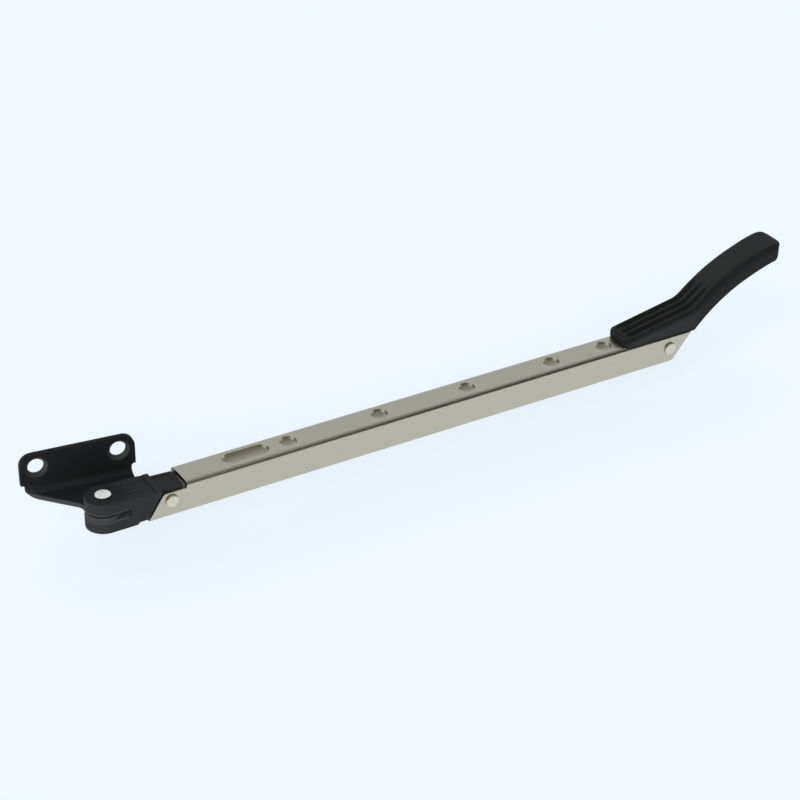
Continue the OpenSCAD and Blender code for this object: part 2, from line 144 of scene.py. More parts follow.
def soften(bm, edges, width, segments=2):
    bmesh.ops.bevel(bm, geom=edges, offset=width, offset_type="OFFSET", affect="EDGES",
                    segments=segments, profile=0.5, material=-1, clamp_overlap=True)


# %% [markdown]
# ## The pressed bracket
# The bracket is pressed from sheet and coated, so its edges are round and soft. The coat narrows the screw
# holes a little, so their points move inwards. The notches beside the bend sit lower on the real bracket
# than on the solid, so their points move down. Moving points keeps the mesh whole, where a new cut wouldn't.

# %% Copy of the bracket
LEDGE = 0.05 * MM
SCREW_X = 14.75 * MM
SCREW_R = 3.2 * MM
SINK_R = 4.8 * MM
COAT_IN = 0.25 * MM
NOTCH_X = 19.05 * MM
NOTCH_LOW = -6.55 * MM
NOTCH_HIGH = -5.2 * MM
NOTCH_DROP = 1.2 * MM


def from_screw(vert):
    return math.hypot(abs(vert.co.x) - SCREW_X, vert.co.z)


def near_screw(edge):
    return all(from_screw(v) < SINK_R for v in edge.verts)


def at_notch(vert):
    return abs(vert.co.x) > NOTCH_X and NOTCH_LOW < vert.co.z < NOTCH_HIGH


bracket = welded("bracket", LEDGE)
bores = [v for v in bracket.verts if from_screw(v) < SCREW_R + LEDGE]
for vert in bores:
    centre = math.copysign(SCREW_X, vert.co.x)
    vert.co.x = centre + (vert.co.x - centre) * (1 - COAT_IN / SCREW_R)
    vert.co.z = vert.co.z * (1 - COAT_IN / SCREW_R)
notches = [v for v in bracket.verts if at_notch(v)]
bmesh.ops.translate(bracket, verts=notches, vec=(0, 0, -NOTCH_DROP))
print("points moved at the screw holes and the notches:", len(bores), len(notches))
soften(bracket, [e for e in corner_edges(bracket) if near_screw(e)], 0.08 * MM)
soften(bracket, [e for e in corner_edges(bracket) if not near_screw(e)], 0.3 * MM, 3)
bracket = new_piece("bracket_coated", bracket)
finish_piece(bracket, "bracket", "bracket_coat", "bracket")

# %% [markdown]
# ## The cast knuckle
# The knuckle is a casting with a thick coat. Its panel and the floor of its slot stand a little higher than
# on the solid, and both are flat, so their points simply move up. A number on each face, 1 where it looks
# up, tells the finish later where to paint the top darker as shade.

# %% Copy of the knuckle
to_arm = arm_matrix.inverted()
PANEL_START = -4.4 * MM
PANEL_LOW = 3.9 * MM
PANEL_HIGH = 5.1 * MM
PANEL_LIFT = 0.22 * MM
SLOT_END = -15.2 * MM
SLOT_FLOOR = -1.4 * MM
SLOT_LIFT = 0.45 * MM
LOOKS_UP = 0.8


def on_panel(vert):
    spot = to_arm @ vert.co
    return spot.x > PANEL_START and PANEL_LOW < spot.z < PANEL_HIGH


def on_slot_floor(vert):
    spot = to_arm @ vert.co
    return spot.x < SLOT_END and abs(spot.z - SLOT_FLOOR) < LEDGE


knuckle = welded("knuckle", LEDGE)
panel = [v for v in knuckle.verts if on_panel(v)]
slot_floor = [v for v in knuckle.verts if on_slot_floor(v)]
bmesh.ops.translate(knuckle, verts=panel, vec=(0, 0, PANEL_LIFT))
bmesh.ops.translate(knuckle, verts=slot_floor, vec=(0, 0, SLOT_LIFT))
print("points moved on the knuckle's panel and slot:", len(panel), len(slot_floor))
soften(knuckle, corner_edges(knuckle), 0.18 * MM)
knuckle.normal_update()
# The crown number marks the faces that look up, where the finish paints shade.
crown = knuckle.faces.layers.float.new("crown")
for face in knuckle.faces:
    face[crown] = 1.0 if face.normal.z > LOOKS_UP else 0.0
knuckle = new_piece("knuckle_cast", knuckle)
finish_piece(knuckle, "knuckle", "knuckle_coat", "knuckle")

# %% [markdown]
# ## The turned pin and rivets
# Pin and rivets are turned parts with only a touch of a break on their edges, so one loop does all three.

# %% Copies of the pin and the rivets
turned = {}
for node in ("hinge_pin", "lift_rivet", "handle_rivet"):
    blank = welded(node)
    soften(blank, corner_edges(blank), 0.1 * MM)
    turned[node] = new_piece(node + "_turned", blank)

finish_piece(turned["hinge_pin"], "knuckle", "pin_steel", "hinge_pin")
finish_piece(turned["lift_rivet"], "arm", "rivet_steel", "lift_rivet")
finish_piece(turned["handle_rivet"], "arm", "rivet_steel", "handle_rivet")

# %% [markdown]
# ## The folded channel
# The channel is one strip of sheet, punched and folded. Its cut edges are only deburred, so they get a very
# thin bevel. The two ears beside the knuckle are lower than the walls, with a corner that the press tool
# rounded: the copy is cut along two planes, what stands above the ears goes, and the holes are closed.

# %% Copy of the channel
WALL_START = 5.8 * MM
EAR_LEVEL = 3.3 * MM
EAR_CORNER_X = -2.965 * MM
NEAR = 0.05 * MM


def cut_along(bm, spot, facing, keep_outer=True):
    bmesh.ops.bisect_plane(bm, geom=bm.verts[:] + bm.edges[:] + bm.faces[:], dist=WELD,
                           plane_co=arm_matrix @ Vector(spot), plane_no=facing, clear_outer=not keep_outer)


def above_ear(face):
    middle = to_arm @ face.calc_center_median()
    return middle.x < WALL_START - WELD and middle.z > EAR_LEVEL + WELD


def close_ear(bm, side):
    """Closes what cutting an ear down leaves open: its level top and the upright step behind it."""
    rim = [e for e in bm.edges if e.is_boundary and (to_arm @ e.verts[0].co).y * side > 0]
    spots = {v: to_arm @ v.co for e in rim for v in e.verts}
    level = [v for v, spot in spots.items() if abs(spot.z - EAR_LEVEL) < NEAR]
    upright = [e for e in rim if all(abs(spots[v].x - WALL_START) < NEAR for v in e.verts)]
    bmesh.ops.contextual_create(bm, geom=level)
    ends = [v for v in level if abs(spots[v].x - WALL_START) < NEAR]
    upright += [e for e in ends[0].link_edges if e.other_vert(ends[0]) == ends[1]]
    bmesh.ops.contextual_create(bm, geom=upright)


def at_ear_corner(vert):
    spot = to_arm @ vert.co
    return abs(spot.x - EAR_CORNER_X) < NEAR and abs(spot.z - EAR_LEVEL) < NEAR


channel = welded("arm_channel")
cut_along(channel, (WALL_START, 0, 0), arm_along)
cut_along(channel, (0, 0, EAR_LEVEL), (0, 0, 1))
bmesh.ops.delete(channel, geom=[f for f in channel.faces if above_ear(f)], context="FACES")
for side in (-1, 1):
    close_ear(channel, side)
print("open edges of the channel:", sum(e.is_boundary for e in channel.edges))
bmesh.ops.dissolve_limit(channel, angle_limit=FLAT, verts=channel.verts, edges=channel.edges)
ear_edges = [e for e in channel.edges if all(at_ear_corner(v) for v in e.verts)]
soften(channel, ear_edges, 1.0 * MM, 5)
soften(channel, corner_edges(channel), 0.12 * MM)
channel = new_piece("channel_folded", channel)
finish_piece(channel, "arm", "channel_steel", "arm_channel")
print("rounded ear corners:", len(ear_edges))

# %% [markdown]
# ## The moulded handle
# The handle is the one flowing shape of the stay: a blunt nose, a gently rising top with three finger
# flutes, a soft bend and a curved lever. Extruding a side view would leave hard rims, so the handle is a
# skin instead: a flat grid whose one direction runs from nose to tip and whose other direction goes round
# the section. Two guide lines, the top and the underside, say where each section stands. The values of
# the handle are in millimetres, counted from the lift rivet.

# %% Guide lines of the handle
RIVETS_APART = 212.7
NOSE_X = RIVETS_APART - 20.9
WALL_TOP = 5.73
EAR_TOP = 4.53
WALL_END = RIVETS_APART - 6.2
NOSE_TOP = 9.1
TOP_SLOPE = math.radians(10.4)
LEVER_SLOPE = math.radians(42)
LEVER_R = 74.0
LEVER_T = 7.4
BEND_RUN = 31.2
BEND = Vector((NOSE_X + BEND_RUN, NOSE_TOP + BEND_RUN * math.tan(TOP_SLOPE)))
BEND_R = 10.0
STRIDE = 0.7
TIP_X = RIVETS_APART + 51.2
LEVER_CENTRE = BEND + LEVER_R * Vector((math.sin(LEVER_SLOPE), -math.cos(LEVER_SLOPE)))


def walk(start, heading, legs, step):
    """Points along legs of (length, radius): straight at radius 0, a left turn where it is above 0."""
    spot = Vector(start)
    points = [spot.copy()]
    for length, radius in legs:
        count = max(1, round(length / step))
        stride = length / count
        for _ in range(count):
            turn = stride / radius if radius else 0.0
            middle = heading + turn / 2
            spot += stride * Vector((math.cos(middle), math.sin(middle)))
            heading += turn
            points.append(spot.copy())
    return points


tangent = BEND_R * math.tan((LEVER_SLOPE - TOP_SLOPE) / 2)
bend_turn = LEVER_SLOPE - tangent / LEVER_R - TOP_SLOPE
top_run = (BEND - Vector((NOSE_X, NOSE_TOP))).length - tangent
lever_start = math.pi / 2 + LEVER_SLOPE - tangent / LEVER_R
lever_end = math.acos((TIP_X - LEVER_CENTRE.x) / LEVER_R)
TIP_ROLL = 4.5
TIP_ROLL_R = 9.0
lever_run = LEVER_R * (lever_start - lever_end) - TIP_ROLL
top_legs = [(top_run, 0), (BEND_R * bend_turn, BEND_R), (lever_run, -LEVER_R), (TIP_ROLL, -TIP_ROLL_R)]
top_line = walk((NOSE_X, NOSE_TOP), TOP_SLOPE, top_legs, STRIDE)
too_far = (top_line[-1].x - TIP_X) / math.cos(lever_end - math.pi / 2)
top_legs[2] = (lever_run - too_far, -LEVER_R)
top_line = walk((NOSE_X, NOSE_TOP), TOP_SLOPE, top_legs, STRIDE)
print("the handle's top line has", len(top_line), "points and ends at", top_line[-1])

# %% [markdown]
# The underside is told from the top: below the wedge it is the seat on the channel, straight down from each
# point of the top, and along the lever it is a curve about the same centre, one thickness further in.

# %% Underside of the handle
HEEL_R = LEVER_R - LEVER_T
heel_x = LEVER_CENTRE.x - math.sqrt(HEEL_R ** 2 - (EAR_TOP - LEVER_CENTRE.y) ** 2)
heel_angle = math.pi - math.asin((EAR_TOP - LEVER_CENTRE.y) / HEEL_R)
HEEL_EASE = 2.5
heel_start_x = BEND.x - HEEL_EASE * tangent
TIP_THIN = 0.6
TIP_THIN_FROM = 0.7
TIP_UNDER_SHARE = 0.6
TIP_LEAN = 0.1
TIP_UNDER_R = 2.0
under_end = math.acos((TIP_X - TIP_LEAN - LEVER_CENTRE.x) / (HEEL_R + TIP_THIN))


def blend(low, high, value):
    share = min(1.0, max(0.0, (value - low) / (high - low)))
    return share * share * (3 - 2 * share)


def round_in(distance, radius):
    """How far a rounded corner of that radius has drawn in, at a distance from its end."""
    gap = max(0.0, radius - max(0.0, distance))
    return radius - math.sqrt(max(0.0, radius * radius - gap * gap))


def under(top):
    if top.x <= heel_start_x:
        return Vector((top.x, WALL_TOP if top.x < WALL_END else EAR_TOP))
    share = (top.x - heel_start_x) / (TIP_X - heel_start_x)
    spread = (heel_x - heel_start_x) + HEEL_R * (heel_angle - under_end)
    gone = share * spread
    flat = heel_x - heel_start_x
    if gone < flat:
        return Vector((heel_start_x + gone, EAR_TOP))
    angle = heel_angle - (gone - flat) / HEEL_R
    thinner = TIP_THIN * blend(TIP_THIN_FROM, 1.0, share)
    radius = HEEL_R + thinner + TIP_UNDER_SHARE * round_in(spread - gone, TIP_UNDER_R)
    return LEVER_CENTRE + radius * Vector((math.cos(angle), math.sin(angle)))


under_line = [under(top) for top in top_line]
print("heel at", round(heel_x, 2), "tip thickness", round((top_line[-1] - under_line[-1]).length, 2))

# %% [markdown]
# Each section is a rectangle with rounded upper edges. Its half width shrinks where the nose and the tip
# are rounded in plan, and its top sinks at both ends, so the same few lines round every rim of the handle.
# The flutes press the top in: a round-bottomed groove with a round start, fading out as the lever curves
# away.

# %% Sections of the handle
HALF_WIDTH = 6.1
EDGE_R = 1.4
TIP_EDGE_R = 0.6
EDGE_NARROWS = (18.0, 6.0)
FOOT_R = 0.3
NOSE_CORNER_R = 2.0
TIP_CORNER_R = 2.1
RIM_R = 1.1
FLUTE_R = 1.5
FLUTE_DEEP = 0.85
FLUTE_PITCH = 3.5
FLUTE_START = 3.6
FLUTE_FADE = 15.0
TOP_STEPS = 72
ARC_STEPS = 6
SIDE_STEPS = 6
FOOT_STEPS = 28
FOLD_R = 1.8
FOLD_Y = 4.4

run = [0.0]
for one, two in zip(top_line, top_line[1:]):
    run.append(run[-1] + (two - one).length)


def flute_depth(along, across):
    fading = max(0.0, along - top_run)
    deep = FLUTE_DEEP * (1 - (fading / FLUTE_FADE) ** 2)
    before = max(0.0, FLUTE_START - along)
    reach = min(math.hypot(before, across - lane * FLUTE_PITCH) for lane in (-1, 0, 1))
    if deep <= 0 or reach >= FLUTE_R:
        return 0.0
    return max(0.0, math.sqrt(FLUTE_R ** 2 - reach ** 2) - (FLUTE_R - deep))


def section_outline():
    """Walks once round a section: (place across from -1 to 1, part of the outline, share of that part)."""
    steps = [(-1 + 2 * i / TOP_STEPS, "top", 0.0) for i in range(TOP_STEPS + 1)]
    steps += [(1.0, "edge", i / ARC_STEPS) for i in range(1, ARC_STEPS)]
    steps += [(1.0, "side", 1 - i / SIDE_STEPS) for i in range(SIDE_STEPS + 1)]
    steps += [(1 - 2 * i / FOOT_STEPS, "foot", 0.0) for i in range(FOOT_STEPS + 1)]
    steps += [(-1.0, "side", i / SIDE_STEPS) for i in range(SIDE_STEPS + 1)]
    steps += [(-1.0, "edge", 1 - i / ARC_STEPS) for i in range(1, ARC_STEPS)]
    return steps


outline = section_outline()
outline.append(outline[0])
print("points round a section:", len(outline))


# %% [markdown]
# With the outline as a list, one function turns a step of it into a point. At the sides the foot hangs down
# over the channel's rounded fold, so that no gap shows between the handle and the steel.

# %% One point of a section
def skirt(foot, y):
    """How far the foot hangs down over the channel's rounded fold, at a place across."""
    beyond = min(FOLD_R, max(0.0, abs(y) - FOLD_Y))
    drop = FOLD_R - math.sqrt(FOLD_R ** 2 - beyond ** 2)
    return min(drop, max(0.0, foot.y - EAR_TOP))


def section_point(index, step):
    top, foot = top_line[index], under_line[index]
    along, left = run[index], run[-1] - run[index]
    across, part, share = step
    half = HALF_WIDTH - round_in(along, NOSE_CORNER_R) - round_in(left, TIP_CORNER_R)
    up = (top - foot).normalized()
    crown = (top - foot).length - round_in(along, RIM_R)
    edge_r = EDGE_R - (EDGE_R - TIP_EDGE_R) * blend(*EDGE_NARROWS, left)
    side = math.copysign(1, across)
    if part == "top":
        y = across * (half - edge_r)
        z = crown - flute_depth(along, y)
    elif part == "edge":
        angle = share * math.pi / 2
        y = side * (half - edge_r + edge_r * math.sin(angle))
        z = crown - edge_r + edge_r * math.cos(angle)
    elif part == "side":
        y = side * half
        base = FOOT_R - skirt(foot, y)
        z = base + share * (crown - edge_r - base)
    else:
        y = across * (half - FOOT_R)
        z = -skirt(foot, y)
    place = foot + z * up
    return Vector((place.x, y, place.y)) * MM


# %% [markdown]
# A flat grid has one column for each section and one row for each point of its outline, so every point of
# the grid knows where it belongs. Three numbers ride along for the finish: how deep a groove is, how much
# painted shade a point of the rims, sides, foot and nose gets, and how much painted light the side of the
# wedge gets.

# %% Skin of the handle
# These set where the handle's sides, foot and nose get painted shade and the wedge's sides painted light.
SIDE_SHADE = 0.35
SIDE_FROM = 0.4
SIDE_FROM_WEDGE = 0.3
FOOT_BAND = 0.2
WEDGE_FADE = 14.0
NOSE_SHADE = 0.5
NOSE_FADE = (2.0, 0.5)
CHEEK_START = (1.0, 3.0)
skin = bmesh.new()
rings = len(top_line) - 1
rounds = len(outline) - 1
bmesh.ops.create_grid(skin, x_segments=rings, y_segments=rounds, size=0.5)
groove = skin.verts.layers.float.new("groove")
rim_and_side_shade = skin.verts.layers.float.new("rim_and_side_shade")
wedge_side_light = skin.verts.layers.float.new("wedge_side_light")
for vert in skin.verts:
    ring = round((vert.co.x + 0.5) * rings)
    place = round((vert.co.y + 0.5) * rounds)
    vert.co = section_point(ring, outline[place])
    part, share = outline[place][1:]
    if part == "top":
        vert[groove] = flute_depth(run[ring], vert.co.y / MM) / FLUTE_DEEP
    elif part == "edge":
        vert[rim_and_side_shade] = share
    else:
        wedge = blend(top_run + WEDGE_FADE, top_run, run[ring])
        below_edge = blend(SIDE_FROM + SIDE_FROM_WEDGE * wedge, 1.0, share)
        side_shading = max(below_edge, wedge * blend(FOOT_BAND, 0.0, share))
        vert[rim_and_side_shade] = SIDE_SHADE + (1 - SIDE_SHADE) * side_shading
        vert[wedge_side_light] = (1 - side_shading) * wedge * blend(*CHEEK_START, run[ring])
    vert[rim_and_side_shade] = max(vert[rim_and_side_shade], NOSE_SHADE * blend(*NOSE_FADE, run[ring]))
bmesh.ops.remove_doubles(skin, verts=skin.verts, dist=0.002 * MM)
bmesh.ops.holes_fill(skin, edges=skin.edges, sides=0)
bmesh.ops.transform(skin, matrix=arm_matrix, verts=skin.verts)
print("skin of the handle:", len(skin.faces), "faces, open edges:", sum(e.is_boundary for e in skin.edges))

# %% [markdown]
# Below the skin sits the tongue that goes between the channel's ears. It carries the rivet, so its form has
# to be the solid's own: a copy of the solid is cut level with the ears, and the lower part joins the skin.

# %% Tongue of the handle
TONGUE_TOP = EAR_TOP - 0.05
tongue = welded("handle")
cut_along(tongue, (0, 0, TONGUE_TOP * MM), (0, 0, 1), keep_outer=False)
bmesh.ops.holes_fill(tongue, edges=tongue.edges, sides=0)
soften(tongue, corner_edges(tongue), 0.15 * MM)
tongue_mesh = bpy.data.meshes.new("tongue")
tongue.to_mesh(tongue_mesh)
tongue.free()
skin.from_mesh(tongue_mesh)
bpy.data.meshes.remove(tongue_mesh)
handle = new_piece("handle_moulded", skin)
finish_piece(handle, "arm", "handle_plastic", "handle")


# %% [markdown]
# ## Writing finishes as sums
# A finish is a small net of nodes. Built by hand it takes dozens of lines, so one class wraps an output
# socket and lets Python's own signs add the Math nodes, and one method makes any other node.

# %% Helper: nodes as expressions
class Wire:
    """An output socket of a node tree that can stand in a sum."""

    def __init__(self, tree, socket):
        self.tree = tree
        self.socket = socket

    def math(self, operation, other=0.0, swapped=False):
        first, second = (other, self) if swapped else (self, other)
        return make(self.tree, "ShaderNodeMath", {"operation": operation}, {0: first, 1: second})

    def __add__(self, other):
        return self.math("ADD", other)

    def __radd__(self, other):
        return self.math("ADD", other, swapped=True)

    def __sub__(self, other):
        return self.math("SUBTRACT", other)

    def __rsub__(self, other):
        return self.math("SUBTRACT", other, swapped=True)

    def __mul__(self, other):
        return self.math("MULTIPLY", other)

    def __rmul__(self, other):
        return self.math("MULTIPLY", other, swapped=True)


def plug(tree, socket, value):
    if isinstance(value, Wire):
        tree.links.new(value.socket, socket)
    else:
        socket.default_value = value


def make(tree, kind, settings=None, sockets=None, out=0):
    """Adds a node: its settings first, then the values or wires of its sockets. Returns one output."""
    node = tree.nodes.new(kind)
    for name, value in (settings or {}).items():
        setattr(node, name, value)
    for name, value in (sockets or {}).items():
        plug(tree, node.inputs[name], value)
    return Wire(tree, node.outputs[out]) if node.outputs else None


# %% [markdown]
# The same few nodes come back in every finish: coordinates in millimetres, noise, mixed colours, a soft
# step from one value to another. Each gets a short function here, so that a finish reads like a recipe.

# %% Helper: nodes that come back
def new_finish(name, piece):
    material = bpy.data.materials.new(name)
    material.use_nodes = True
    material.node_tree.nodes.clear()
    piece.data.materials.clear()
    piece.data.materials.append(material)
    return material.node_tree


def turned_coordinates(tree, centre, turn=0.0, stretch=(1, 1, 1)):
    """Object coordinates in mm, counted from a spot, turned about z and then stretched."""
    local = make(tree, "ShaderNodeTexCoord", out="Object")
    moved = make(tree, "ShaderNodeVectorMath", {"operation": "SUBTRACT"}, {0: local, 1: centre})
    spun = make(tree, "ShaderNodeMapping", None, {0: moved, "Rotation": (0, 0, -turn)})
    scale = [s / MM for s in stretch]
    return make(tree, "ShaderNodeVectorMath", {"operation": "MULTIPLY"}, {0: spun, 1: scale})


def noise(tree, where, scale, detail=2.0, rough=0.5):
    return make(tree, "ShaderNodeTexNoise", None,
                {"Vector": where, "Scale": scale, "Detail": detail, "Roughness": rough}, "Fac")


def opaque(colour):
    return colour if isinstance(colour, Wire) else (*colour, 1)


def mix_colour(tree, share, low, high):
    return make(tree, "ShaderNodeMix", {"data_type": "RGBA"}, {0: share, 6: opaque(low), 7: opaque(high)}, 2)


def split(tree, vector):
    node = make(tree, "ShaderNodeSeparateXYZ", None, {0: vector}).socket.node
    return [Wire(tree, output) for output in node.outputs]


def attribute(tree, name):
    return make(tree, "ShaderNodeAttribute", {"attribute_name": name}, None, "Fac")


def bump(tree, height, strength, distance):
    return make(tree, "ShaderNodeBump", None,
                {"Height": height, "Strength": strength, "Distance": distance})


def smooth(tree, value, start, end, low, high):
    return make(tree, "ShaderNodeMapRange", {"interpolation_type": "SMOOTHSTEP"},
                {0: value, 1: start, 2: end, 3: low, 4: high})


def principled(tree, sockets):
    shader = make(tree, "ShaderNodeBsdfPrincipled", None, sockets)
    make(tree, "ShaderNodeOutputMaterial", None, {"Surface": shader})


# %% [markdown]
# ## Brushed steel
# The channel is plated and brushed lengthwise. Brushing is hundreds of shallow scratches in one direction,
# which noise gives us when its coordinates are squeezed along the arm. The scratches go into the bump and
# change the roughness a little, and a slow noise tints the plating, as handling does. The inside gets a
# little painted shade, and the sheared end and the hollow next to the knuckle are painted dark as shade.

# %% Finish of the channel
PLATING_LIGHT = (0.5, 0.455, 0.367)
PLATING_DARK = (0.4625, 0.417, 0.334)
# Painted shade colour: the sheared end, the hollow by the knuckle and the inside are mixed towards it.
PAINTED_SHADE = (0.03, 0.027, 0.02)
PAINTED_SHADE_SHARE = 0.9
INSIDE_SHADE_SHARE = 0.27
INSIDE_Y = 5.06
INSIDE_Z = 4.55
END_X = 5.9
END_Z = 3.6
HOLLOW_X = 14.0
tree = new_finish("brushed_plating", channel)
lengthwise = turned_coordinates(tree, rivet_spot, arm_turn, (0.04, 1, 1))
slow = turned_coordinates(tree, rivet_spot, arm_turn, (0.05, 0.15, 0.15))
scratches = noise(tree, lengthwise, 5.0, 3.0, 0.6)
handling = noise(tree, slow, 1.0, 2.0, 0.5)
tint = 0.6 * handling + 0.4 * scratches
plain = turned_coordinates(tree, rivet_spot, arm_turn)
place_x, place_y, place_z = split(tree, plain)
# Painted shade: masks of the sheared end, the hollow by the knuckle and the inside darken the plating.
sheared_end = place_x.math("LESS_THAN", END_X) * place_z.math("GREATER_THAN", END_Z)
between_walls = (place_y * place_y).math("LESS_THAN", INSIDE_Y ** 2)
inside = between_walls * place_z.math("LESS_THAN", INSIDE_Z)
hollow = inside * place_x.math("LESS_THAN", HOLLOW_X)
painted_shade_mask = sheared_end.math("MAXIMUM", hollow)
shade_share_on_channel = (PAINTED_SHADE_SHARE * painted_shade_mask).math("MAXIMUM", INSIDE_SHADE_SHARE * inside)
plating = mix_colour(tree, tint, PLATING_DARK, PLATING_LIGHT)
principled(tree, {
    "Base Color": mix_colour(tree, shade_share_on_channel, plating, PAINTED_SHADE),
    "Metallic": 1.0,
    "Roughness": 0.2 + 0.1 * scratches + 0.06 * handling,
    "Normal": bump(tree, scratches, 0.04, 0.02 * MM),
})
print("brushed plating on", channel.name)

# %% [markdown]
# ## Turned steel
# Pin and rivets come off a lathe, so their faces carry fine rings about their own axis. A Wave texture in
# rings gives these when its coordinates start at the axis. The pin's end has been peened, which leaves it
# bright, and a painted shadow line runs round its edge.

# %% Finish of the pin and the rivets
PIN_LIGHT = (1.0, 0.95, 0.88)
PIN_DARK = (0.96, 0.91, 0.84)
PIN_RIM = 2.95
RIM_WIDE = 0.15
RIM_SHADOW_SHARE = 0.95
# Painted shadow: the colour of the dark line round the pin's edge.
RIM_SHADOW = (0.03, 0.028, 0.025)
RIVET_LIGHT = (0.7, 0.625, 0.525)
RIVET_DARK = (0.6, 0.535, 0.44)


def turned_finish(name, piece, centre, turn, axis, light, dark, rough, rim=None):
    tree = new_finish(name, piece)
    local = turned_coordinates(tree, centre, turn)
    rings = make(tree, "ShaderNodeTexWave",
                 {"wave_type": "RINGS", "rings_direction": axis, "wave_profile": "SIN"},
                 {"Vector": local, "Scale": 1.1, "Distortion": 1.5, "Detail": 2.0, "Detail Scale": 2.0},
                 "Fac")
    grime = noise(tree, local, 0.8, 3.0, 0.55)
    steel = mix_colour(tree, 0.7 * grime + 0.3 * rings, dark, light)
    # The rim paints a dark shadow line round the pin's edge.
    if rim:
        flat = make(tree, "ShaderNodeVectorMath", {"operation": "MULTIPLY"}, {0: local, 1: (1, 1, 0)})
        reach = make(tree, "ShaderNodeVectorMath", {"operation": "LENGTH"}, {0: flat}, "Value")
        edge = smooth(tree, reach, rim - RIM_WIDE, rim, 0.0, RIM_SHADOW_SHARE)
        steel = mix_colour(tree, edge, steel, RIM_SHADOW)
    principled(tree, {
        "Base Color": steel,
        "Metallic": 1.0,
        "Roughness": rough + 0.1 * rings + 0.1 * grime,
        "Normal": bump(tree, rings, 0.15, 0.02 * MM),
    })
    print(name, "on", piece.name)


turned_finish("peened_steel", turned["hinge_pin"], hinge_spot, 0.0, "Z", PIN_LIGHT, PIN_DARK,
              rough=0.1, rim=PIN_RIM)
handle_rivet_spot = arm_matrix @ Vector((RIVETS_APART * MM, 0, 0))
for node, spot in (("lift_rivet", rivet_spot), ("handle_rivet", handle_rivet_spot)):
    turned_finish("rivet_steel_" + node, turned[node], spot, arm_turn, "Y", RIVET_LIGHT, RIVET_DARK,
                  rough=0.24)

# %% [markdown]
# ## Black coats and black plastic
# Three blacks sit side by side and none of them is the same: the bracket's dipped coat is smooth with a
# faint orange peel, the knuckle's casting has a fine sandy skin, and the handle's plastic has a moulded
# grain. Each gets its own bump, at its own scale, and slow changes of tone and roughness.

# %% Helper: a black finish
def black_finish(name, piece, light, dark, rough, shine, grain_size, grain_deep, change):
    tree = new_finish(name, piece)
    local = turned_coordinates(tree, hinge_spot)
    grain = noise(tree, local, 1 / grain_size, 2.0, 0.5)
    cloud = noise(tree, local, 0.12, 3.0, 0.55)
    coat = mix_colour(tree, 0.7 * cloud + 0.3 * grain, dark, light)
    for share, shade in change(tree, local):
        coat = mix_colour(tree, share, coat, shade)
    principled(tree, {
        "Base Color": coat,
        "Roughness": rough - 0.05 + 0.08 * cloud + 0.06 * grain,
        "Specular IOR Level": shine,
        "Normal": bump(tree, grain, 0.3, grain_deep * MM),
    })
    print(name, "on", piece.name)


# %% [markdown]
# Each black also gets painted light and shade: places painted darker as shade or paler as lit. A
# function for each piece gives these as pairs, a share and the colour that it brings in.

# %% Darker and paler places
# Colours of the painted light and shade on the three blacks.
TONGUE_LIT = (0.03, 0.032, 0.032)
EDGE_HIGHLIGHT = (0.06, 0.061, 0.062)
TOP_SHADE = (0.012, 0.012, 0.0118)
LIP_HIGHLIGHT = (0.11, 0.115, 0.12)
WEDGE_LIGHT_COLOUR = (0.045, 0.0445, 0.0435)
GROOVE_SHADE = (0.0085, 0.0085, 0.0085)


def painted_light_on_bracket(tree, local):
    """Painted light on the bracket: its lower part is painted paler as lit, and the tongue's cut edges and
    the countersinks get painted highlights.
    """
    along, _, up = split(tree, local)
    from_middle = along + hinge_spot.x / MM
    beside = from_middle - SCREW_X / MM * from_middle.math("SIGN")
    above = up + hinge_spot.z / MM
    reach = (beside * beside + above * above).math("SQRT")
    # Painted light: paler below as lit, with painted highlights on the cut edges and in the countersinks.
    cut_edge_highlight = smooth(tree, up, 1.15, 0.7, 0.0, 0.65)
    countersink_highlight = smooth(tree, reach, 4.1, 3.95, 0.0, 0.5)
    lit_tongue = smooth(tree, up, 5.0, 1.5, 0.0, 0.3)
    return [(lit_tongue, TONGUE_LIT), (cut_edge_highlight + countersink_highlight, EDGE_HIGHLIGHT)]


def painted_light_on_casting(tree, local):
    """Painted shade on the casting's top round the pin, and painted highlights along the edges of the slot.
    """
    x, y, z = split(tree, local)
    reach = (x * x + y * y).math("SQRT")
    top = attribute(tree, "crown")
    # Painted shade on the top round the pin, and painted highlights along the slot's edges.
    top_shade_share = top * (0.12 + smooth(tree, reach, 12.0, 6.0, 0.0, 0.36))
    upper_lip = smooth(tree, z, 1.75, 1.85, 0.0, 1.0) * smooth(tree, z, 2.05, 2.2, 1.0, 0.0)
    lower_lip = smooth(tree, z, -1.35, -1.2, 0.0, 1.0) * smooth(tree, z, -0.8, -0.7, 1.0, 0.0)
    lip_highlight = (upper_lip + lower_lip) * smooth(tree, reach, 8.5, 10.0, 0.55, 0.0)
    return [(top_shade_share, TOP_SHADE), (lip_highlight, LIP_HIGHLIGHT)]


def painted_light_on_handle(tree, _):
    """Painted shade in the grooves, on the upper rims, the sides, the foot and the nose, and painted light
    on the wedge's sides.
    """
    deep = attribute(tree, "groove")
    side = attribute(tree, "rim_and_side_shade")
    lit_wedge = attribute(tree, "wedge_side_light")
    # Painted shade in the grooves and on rims and sides; painted light on the wedge's sides.
    dark = smooth(tree, deep, 0.0, 0.45, 0.0, 1.0) + 0.9 * side
    return [(0.8 * lit_wedge, WEDGE_LIGHT_COLOUR), (dark, GROOVE_SHADE)]


# %% [markdown]
# Now the three blacks are one call each.

